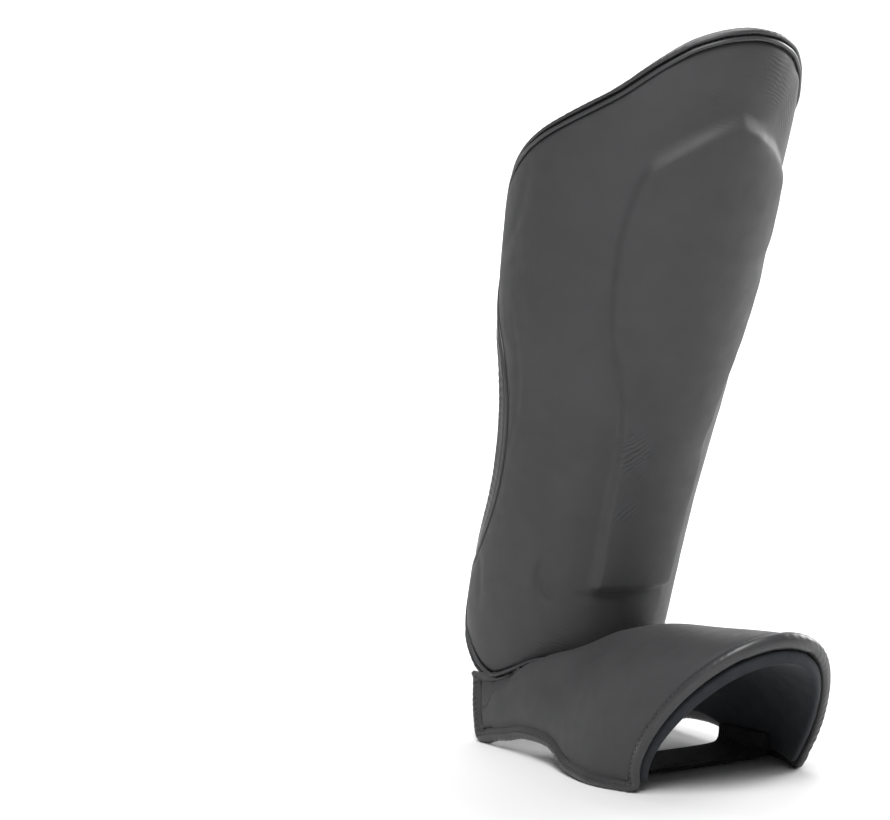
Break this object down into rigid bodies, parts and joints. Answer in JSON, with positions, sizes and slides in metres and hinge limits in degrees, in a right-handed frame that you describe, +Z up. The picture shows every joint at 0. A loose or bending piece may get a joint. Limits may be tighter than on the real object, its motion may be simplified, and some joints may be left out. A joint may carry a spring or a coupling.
{
  "type": "kickboxing shin and instep guard",
  "caption": "Padded leather guard for one shin and foot: a curved shin pad with a raised bar, a jointed instep pad, two calf straps and a strap under the sole",
  "frame": {"origin": "middle of the floor under the guard: the centre of the bottom face of its bounding box", "axes": "+Z up along the leg, -Y towards the toes, +X towards the outer side of the right leg"},
  "size_m": [0.167, 0.2886, 0.4472],
  "materials": {
    "shell_leather": "matt grained black leather, lit to dark grey",
    "trim_leather": "smoother black leather, satin",
    "lining_cloth": "matt blue-black cloth",
    "strap_elastic": "matt black woven elastic"
  },
  "bodies": {
    "root": {"shin_pad": "shell_leather", "shin_edge_band": "shell_leather", "shin_piping": "trim_leather", "instep_pad": "shell_leather", "instep_lining": "lining_cloth", "instep_binding": "trim_leather", "foot_strap": "strap_elastic", "calf_strap_lower": "strap_elastic", "calf_strap_upper": "strap_elastic"}
  },
  "joints": []
}
